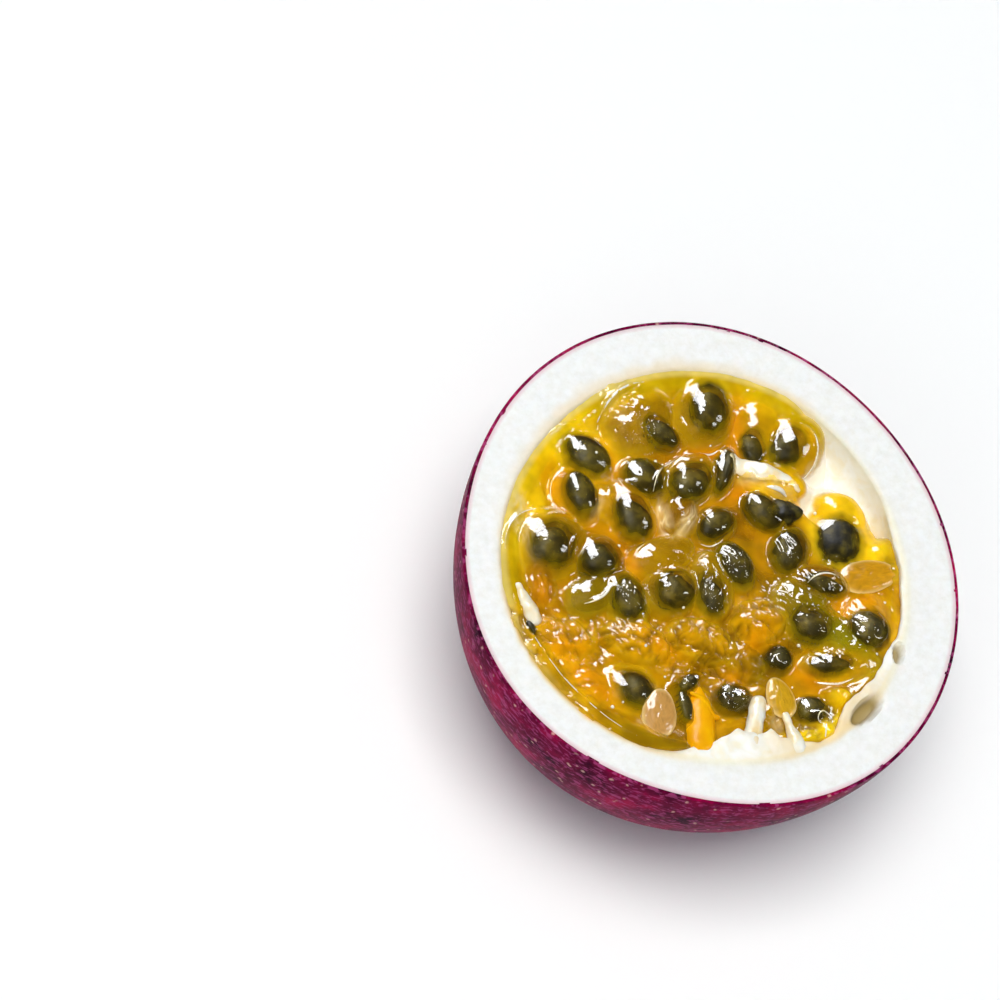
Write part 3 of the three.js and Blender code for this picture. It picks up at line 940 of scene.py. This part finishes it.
def film_edges_and_painted_glints():
    """Thin near-white edges of film round the sacs, strokes on the pod and beads of juice, all painted
    highlights, and a loose thread.
    """
    edges = [strand(stops) for stops in (THREAD, *POD_PAINTED_GLINTS)]
    for cx, cy, radius, start, end, _, _, thin in FILM_RIMS:
        if not thin:
            continue
        stops = []
        for share in np.linspace(0, 1, 12):
            a = radians(start + (end - start) * share)
            swell = 0.7 * thin * (0.2 + 0.8 * sin(share * pi))
            stops.append((cx + radius * cos(a), cy + radius * sin(a), -0.3 * thin, swell))
        edges.append(strand(stops, flat=0.8, sides=8, steps=3))
    for x, y, radius in BEADS:
        bead = set_home(ball(16, 10, radius, (x, y, top_of_gel(x, y))))
        roughen(bead, 0.3, 0.03, x)
        edges.append(bead)
    return place(join("film_edges_and_painted_glints", edges))


def yellow_lumps():
    """A slab of flesh standing by the near wall, with a torn lip hanging off it."""
    piece = join("yellow_lumps", [strand(WEDGE, flat=0.5), strand(WEDGE_LIP)])
    roughen(piece, 0.9, 0.1, 31.0)
    return place(piece)


def pale_seeds():
    """Seeds that never filled: flat, tan and see-through, with a raised rim."""
    copies = []
    for x, y, long, wide, turn, over, tone, clear in PALE_SEEDS:
        seed = ball(48, 40, 1)
        points = points_of(seed)
        dish = np.exp(-(np.hypot(points[:, 0], points[:, 1]) / 0.93) ** 18)
        lines = fibres(points[:, 0] * 4, points[:, 1] * 4, 0, 0.5, x) * dish
        points[:, 2] *= 0.34 - 0.05 * dish + 0.03 * lines
        points[:, 1] *= 1 - 0.14 * points[:, 0]
        points *= (long / 2, wide / 2, wide / 2)
        move_points(seed, points)
        colour = blend(np.array(linear(PALE_RIM)), np.array(linear(tone)), dish[:, None])
        paint(seed, "tone", colour * (1 + 0.25 * lines)[:, None])
        paint(seed, "clear", clear * dish)
        seed.rotation_euler = Euler((0, 0, radians(turn)))
        seed.location = (x, y, top_of_gel(x, y) + over)
        copies.append(set_home(seed))
    piece = join("pale_seeds", copies)
    roughen(piece, 0.8, 0.05, 41.0)
    return place(piece)


def seed_model():
    """One seed, 1 long and 1 wide: a flat almond, blunt at one end."""
    seed = ball(28, 18, 0.5)
    points = points_of(seed)
    along = points[:, 0] * 2
    points[:, 1] *= 1 - 0.18 * along - 0.1 * along ** 2
    points[:, 2] *= (1 - 0.1 * along) * SEED_HEIGHT
    move_points(seed, points)
    return seed


def dark_seeds():
    model = seed_model()
    copies = []
    for i, (x, y, long, wide, turn, top, tilt, film) in enumerate(SEEDS):
        copy = model.copy()
        copy.data = model.data.copy()
        bpy.context.collection.objects.link(copy)
        bare = film < 0
        size, rough, grain, wet = (0.98, -film, 0.3, 0.1) if bare else (0.86, 0.02, 0.12, 0.3)
        points = points_of(copy)
        corner = np.cos(3 * np.arctan2(points[:, 1], points[:, 0]) + i)
        points[:, :2] *= 1 + 0.11 * (wide / long) ** 4 * corner[:, None]
        points *= 1 + rough * wander(points, grain, i)[:, None]
        move_points(copy, points)
        turned = turn + 180 * (i % 2)
        sunk = 0.15 if film else 0.0
        copy.scale = (long * size, wide * size, wide)
        copy.rotation_euler = Euler((radians(tilt), 0, radians(turned)))
        copy.location = (x, y, top - wide * SEED_HEIGHT / 2 - sunk)
        paint(copy, "wet", np.full(len(points), wet))
        copies.append(copy)
    bpy.data.objects.remove(model)
    return place(set_home(join("dark_seeds", copies)))


# ---- Materials ----

# How far red, green and blue light pass in white flesh and in yellow, as shares of the furthest.
WHITE_DEPTH = (1.0, 0.85, 0.7)
YELLOW_DEPTH = (1.0, 0.8, 0.3)
DRIFT = 0.0009  # how far the rind's flecks are pushed out of line


def new_material(name):
    material = bpy.data.materials.new(name)
    material.use_nodes = True
    material.node_tree.nodes.clear()
    return material


def add_node(owner, kind, sockets=(), out=None, stops=(), **settings):
    """A node with its settings and a ramp's stops. It gives back the output named, or the first in use.

    Its sockets are given by name, or in the order of those in use, each as an output to link, a hex
    colour or a value.
    """
    tree = owner.node_tree
    node = tree.nodes.new("ShaderNode" + kind)
    for name, value in settings.items():
        setattr(node, name, value)
    if not isinstance(sockets, dict):
        in_use = [i for i, socket in enumerate(node.inputs) if socket.enabled]
        sockets = dict(zip(in_use, sockets))
    for key, value in sockets.items():
        if isinstance(value, bpy.types.NodeSocket):
            tree.links.new(value, node.inputs[key])
        else:
            node.inputs[key].default_value = rgba(value) if isinstance(value, str) else value
    if stops:
        elements = node.color_ramp.elements
        while len(elements) < len(stops):
            elements.new(0.5)
        for element, (position, tone) in zip(elements, stops):
            element.position = position
            element.color = rgba(tone)
    if out:
        return node.outputs[out]
    return next((socket for socket in node.outputs if socket.enabled), None)


def finished(material, shader, *volume):
    """Ends a material in its shader, which may be given by the sockets of a principled one."""
    if isinstance(shader, dict):
        shader = add_node(material, "BsdfPrincipled", shader)
    add_node(material, "OutputMaterial", (shader, *volume))
    return material


def per(size):
    """The scale of a pattern whose features are this size in millimetres."""
    return 1 / (size * MM)


def patches(material, size, stops, **sockets):
    """Colours that change from place to place, in patches of about a size in millimetres."""
    spot = add_node(material, "TexCoord", out="Object")
    cloud = add_node(material, "TexNoise", {"Vector": spot, "Scale": per(size), **sockets})
    return add_node(material, "ValToRGB", [cloud], stops=stops)


def waxy_rind():
    """Ripe purple rind: thin, waxy and hard, mottled wine and plum, with pale flecks of cork."""
    m = new_material("waxy_rind")
    spot = add_node(m, "TexCoord", out="Object")
    mottle = ((0.34, "#30021E"), (0.5, "#6C0434"), (0.66, "#A40A44"))
    tone = patches(m, 5, mottle, Detail=6.0, Roughness=0.7)
    drift = add_node(m, "TexNoise", {"Vector": spot, "Scale": per(1.2), "Detail": 2.0}, "Color")
    pushed = add_node(m, "Mix", (DRIFT, spot, drift), data_type="VECTOR")
    drawn = add_node(m, "Mapping", {"Vector": pushed, "Scale": (0.35, 0.35, 1.0)})
    streaks = add_node(m, "TexNoise", {"Vector": drawn, "Scale": per(0.32), "Detail": 2.0})
    mask = add_node(m, "MapRange", (streaks, 0.52, 0.62, 0.0, 0.58))
    tone = add_node(m, "Mix", (mask, tone, "#B4487E"), data_type="RGBA")
    for spacing, size, fleck, strength in ((1.5, 0.13, "#DCA8A0", 0.8), (0.75, 0.17, "#B4588C", 0.35)):
        flecks = add_node(m, "TexVoronoi", {"Vector": pushed, "Scale": per(spacing)})
        mask = add_node(m, "MapRange", (flecks, size * 0.4, size * 1.4, strength, 0.0))
        tone = add_node(m, "Mix", (mask, tone, fleck), data_type="RGBA")
    return finished(m, {
        "Base Color": tone, "Roughness": 0.42, "IOR": 1.4, "Specular IOR Level": 0.02})


def spongy_pith():
    """The cut white wall: spongy and matt, light passes into it, stained where juice soaks in, with
    painted shade in its pits.
    """
    m = new_material("spongy_pith")
    painted = ("from_lip", "from_skin", "lining", "stain", "pit_shade")
    from_lip, from_skin, lining, stain, pit_shade = (
        add_node(m, "Attribute", out="Fac", attribute_name=name) for name in painted)
    out = add_node(m, "MapRange", (from_lip, -0.3, 1.4))
    cut = add_node(m, "ValToRGB", [out], stops=(
        (0.0, "#F2E8BC"), (0.2, "#F2EFDC"), (0.5, "#F2F1EC"), (1.0, "#F4F4F3")))
    cells = patches(m, 0.9, ((0.3, "#F5F4F0"), (0.6, "#FFFFFF")), Detail=6.0, Roughness=0.75)
    tone = add_node(m, "Mix", (1.0, cut, cells), data_type="RGBA", blend_type="MULTIPLY")
    streaks = ((0.3, "#F6EED8"), (0.5, "#FAF7EE"), (0.7, "#FFFEFA"))
    ivory = patches(m, 1.6, streaks, Detail=4.0, Distortion=0.8)
    edge = add_node(m, "MapRange", (from_skin, 0.45, 0.85, 0.45, 0.0))
    # the pits get olive-brown painted shade
    for share, over in ((lining, ivory), (stain, "#E8B80C"), (pit_shade, "#9A8448"), (edge, "#E0A0AC")):
        tone = add_node(m, "Mix", (share, tone, over), data_type="RGBA")
    return finished(m, {
        "Base Color": tone, "Roughness": 0.6, "IOR": 1.4, "Subsurface Weight": 0.4,
        "Subsurface Scale": 0.5 * MM, "Subsurface Radius": WHITE_DEPTH})


def juice_gel():
    """Juice sacs: wet clear gel in a thin film, cloudy with pulp from place to place."""
    m = new_material("juice_gel")
    tone = add_node(m, "Attribute", out="Color", attribute_name="flesh")
    cloudy = add_node(m, "Attribute", out="Fac", attribute_name="cloudy")
    pulpy = add_node(m, "Attribute", out="Fac", attribute_name="pulpy")
    spot = add_node(m, "TexCoord", out="Object")
    lay = add_node(m, "Mapping", {
        "Vector": spot, "Rotation": (0.0, 0.0, radians(-30)), "Scale": (0.35, 1.0, 1.0)})
    fine = add_node(m, "TexNoise", {"Vector": lay, "Scale": per(0.6), "Detail": 3.0, "Distortion": 1.0})
    deep = add_node(m, "MapRange", (pulpy, 0.0, 0.8, 0.08, 0.4))
    relief = add_node(m, "Bump", {"Strength": deep, "Distance": 0.35 * MM, "Height": fine})
    wet = {"IOR": 1.36, "Coat Weight": 1.0, "Coat IOR": 1.5, "Coat Roughness": 0.04,
           "Normal": relief, "Coat Normal": relief}
    clear = add_node(m, "BsdfPrincipled", {
        "Base Color": "#FFFCE8", "Roughness": 0.08, "Transmission Weight": 1.0, **wet})
    cloud = add_node(m, "BsdfPrincipled", {
        "Base Color": tone, "Roughness": 0.6, "Specular IOR Level": 0.0, "Subsurface Weight": 0.3,
        "Subsurface Scale": 0.6 * MM, "Subsurface Radius": YELLOW_DEPTH, **wet})
    both = add_node(m, "MixShader", (cloudy, clear, cloud))
    through = add_node(m, "BsdfTransparent", ["#FFFCE8"])
    in_shadow = add_node(m, "LightPath", out="Is Shadow Ray")
    shader = add_node(m, "MixShader", (in_shadow, both, through))
    return finished(m, shader, add_node(m, "VolumeAbsorption", ("#FFEA64", 0.45 / MM)))


def fibrous_flesh():
    """Opaque pulp behind the gel: soft, stringy and bright, light glows through it."""
    m = new_material("fibrous_flesh")
    flesh = add_node(m, "Attribute", out="Color", attribute_name="flesh")
    spot = add_node(m, "TexCoord", out="Object")
    strings = add_node(m, "TexNoise", {
        "Vector": spot, "Scale": per(1.2), "Detail": 4.0, "Distortion": 1.5})
    shade = add_node(m, "ValToRGB", [strings], stops=((0.3, "#D8C8A0"), (0.55, "#FFFFFF")))
    tone = add_node(m, "Mix", (0.7, flesh, shade), data_type="RGBA", blend_type="MULTIPLY")
    relief = add_node(m, "Bump", {"Strength": 0.5, "Distance": 0.3 * MM, "Height": strings})
    return finished(m, {
        "Base Color": tone, "Normal": relief, "Roughness": 0.5, "IOR": 1.36, "Specular IOR Level": 0.2,
        "Subsurface Weight": 0.3, "Subsurface Scale": 0.6 * MM, "Subsurface Radius": YELLOW_DEPTH})


def pitted_seed():
    """Hard dark seed coat, olive black, wet and finely pitted."""
    m = new_material("pitted_seed")
    wet = add_node(m, "Attribute", out="Fac", attribute_name="wet")
    spot = add_node(m, "TexCoord", out="Object")
    tone = patches(m, 1.4, ((0.36, "#171406"), (0.5, "#2E2808"), (0.64, "#544A12")), Detail=4.0)
    pits = add_node(m, "TexVoronoi", {"Vector": spot, "Scale": per(0.35)})
    relief = add_node(m, "Bump", {"Strength": 0.35, "Distance": 0.06 * MM, "Height": pits})
    return finished(m, {
        "Base Color": tone, "Normal": relief, "Roughness": 0.6, "IOR": 1.4, "Specular IOR Level": 0.2,
        "Coat Weight": wet, "Coat IOR": 1.5, "Coat Roughness": 0.35})


def wet_membrane():
    """Torn white inner skin: ivory, soft and wet, light glows through its thin parts."""
    m = new_material("wet_membrane")
    tone = patches(m, 2, ((0.35, "#F2D8A0"), (0.48, "#F8EACC"), (0.65, "#FBF6EA")), Detail=2.0)
    return finished(m, {
        "Base Color": tone, "Roughness": 0.35, "IOR": 1.4, "Coat Weight": 0.5, "Coat Roughness": 0.1,
        "Subsurface Weight": 0.4, "Subsurface Scale": 0.4 * MM, "Subsurface Radius": WHITE_DEPTH})


def white_skin_and_painted_glint():
    """A sac's own skin, wet and milky, nearly opaque white: its strands and beads show as painted
    highlights.
    """
    m = new_material("white_skin_and_painted_glint")
    return finished(m, {
        "Base Color": "#FFFAEA", "Roughness": 0.15, "IOR": 1.36, "Transmission Weight": 0.15,
        "Coat Weight": 1.0, "Coat IOR": 1.5, "Coat Roughness": 0.04})


def juicy_lump():
    """Flesh soaked in juice: smooth, bright yellow, wet."""
    m = new_material("juicy_lump")
    tone = patches(m, 2.5, ((0.35, "#F0A400"), (0.55, "#F8B000"), (0.7, "#FCBC00")), Detail=2.0)
    return finished(m, {
        "Base Color": tone, "Roughness": 0.35, "IOR": 1.4, "Specular IOR Level": 0.1, "Coat Weight": 0.1,
        "Coat Roughness": 0.05, "Subsurface Weight": 0.15, "Subsurface Scale": 0.4 * MM,
        "Subsurface Radius": YELLOW_DEPTH})


def unripe_seed():
    """A seed that never hardened: tan and see-through, paler at its rim, wet."""
    m = new_material("unripe_seed")
    tone = add_node(m, "Attribute", out="Color", attribute_name="tone")
    clear = add_node(m, "Attribute", out="Fac", attribute_name="clear")
    return finished(m, {
        "Base Color": tone, "Transmission Weight": clear, "Roughness": 0.2, "IOR": 1.36,
        "Coat Weight": 0.5, "Coat Roughness": 0.06})


def studio_floor():
    """Matt white paper under the fruit."""
    m = new_material("studio_floor")
    return finished(m, {
        "Base Color": "#FFFFFF", "Roughness": 0.9, "Specular IOR Level": 0.0})


# ---- Build ----

def dress(piece, material, slot, *nodes):
    piece.data.materials.clear()
    piece.data.materials.append(material)
    shade_round(piece)
    if nodes:
        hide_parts(*nodes)
    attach(piece, "root")


dress(skin(), waxy_rind(), "rind", "shell")
dress(white_wall(), spongy_pith(), "rind", "shell")
dress(core(), fibrous_flesh(), "pulp", "pulp")
dress(gel(), juice_gel(), "pulp", "pulp")
dress(dark_seeds(), pitted_seed(), "pulp")
dress(pale_seeds(), unripe_seed(), "pulp")
dress(white_membranes(), wet_membrane(), "pulp")
dress(film_edges_and_painted_glints(), white_skin_and_painted_glint(), "pulp")
dress(yellow_lumps(), juicy_lump(), "pulp")


# ---- Studio ----

FLOOR_SIZE = 8  # metres
SKY = ("#E0ECFF", 0.22, 0.02)  # its colour, its strength on surfaces, and in what they reflect
WINDOW_WHITE = "#F4F7FF"
LAMP_WHITE = "#FFFFFB"

# Softboxes aimed at the cut face: name, azimuth from +X towards +Y, elevation, width, height, power.
# A window shines in wet surfaces alone, and a lamp lights surfaces without shining in them.
LIGHT_DISTANCE = 1.6
LAMPS = (
    ("key", 190, 77, 0.8, 0.8, 21.5),
    ("fill", 222, 50, 1.2, 1.2, 4.0),
)
WINDOWS = (
    ("window", 96, 38, 0.6, 1.8, 60.0),
    ("side", -8, 46, 0.25, 0.4, 3.6),
)

# The camera looks down on the cut face, a little from the left and the near side, and is rolled.
CAMERA_AT = (-128.56, -125.28, 301.34)
CAMERA_TURN = (24.726, -16.344, -7.384)
CAMERA_LENS = 122.27
CAMERA_SENSOR = 36.0


def studio():
    deselect_all()
    bpy.ops.mesh.primitive_plane_add(size=FLOOR_SIZE)
    floor = bpy.context.active_object
    floor.name = "floor"
    floor.data.materials.append(studio_floor())
    world = bpy.data.worlds.new("studio")
    bpy.context.scene.world = world
    world.use_nodes = True
    world.node_tree.nodes.clear()
    tone, on_surfaces, in_reflections = SKY
    in_reflection = add_node(world, "LightPath", out="Is Glossy Ray")
    strength = add_node(world, "MapRange", (in_reflection, 0.0, 1.0, on_surfaces, in_reflections))
    add_node(world, "OutputWorld", [add_node(world, "Background", {"Color": tone, "Strength": strength})])


def soft_light(name, azimuth, elevation, wide, high, power, shines):
    a, e = radians(azimuth), radians(elevation)
    away = Vector((cos(a) * cos(e), sin(a) * cos(e), sin(e)))
    light = bpy.data.lights.new(name, "AREA")
    light.shape = "RECTANGLE"
    light.size = wide
    light.size_y = high
    light.energy = power
    light.color = linear(WINDOW_WHITE if shines else LAMP_WHITE)
    lamp = bpy.data.objects.new(name, light)
    bpy.context.collection.objects.link(lamp)
    lamp.location = FACE * MM + away * LIGHT_DISTANCE
    lamp.rotation_euler = away.to_track_quat("Z", "Y").to_euler()
    lamp.visible_glossy = shines
    lamp.visible_diffuse = not shines


def camera():
    data = bpy.data.cameras.new("camera")
    data.sensor_width = CAMERA_SENSOR
    data.lens = CAMERA_LENS
    seen = bpy.data.objects.new("camera", data)
    bpy.context.collection.objects.link(seen)
    seen.location = (FACE + Vector(CAMERA_AT)) * MM
    seen.rotation_euler = [radians(a) for a in CAMERA_TURN]
    bpy.context.scene.camera = seen


studio()
for light in LAMPS:
    soft_light(*light, shines=False)
for light in WINDOWS:
    soft_light(*light, shines=True)
camera()
bpy.context.scene.view_settings.view_transform = "Standard"
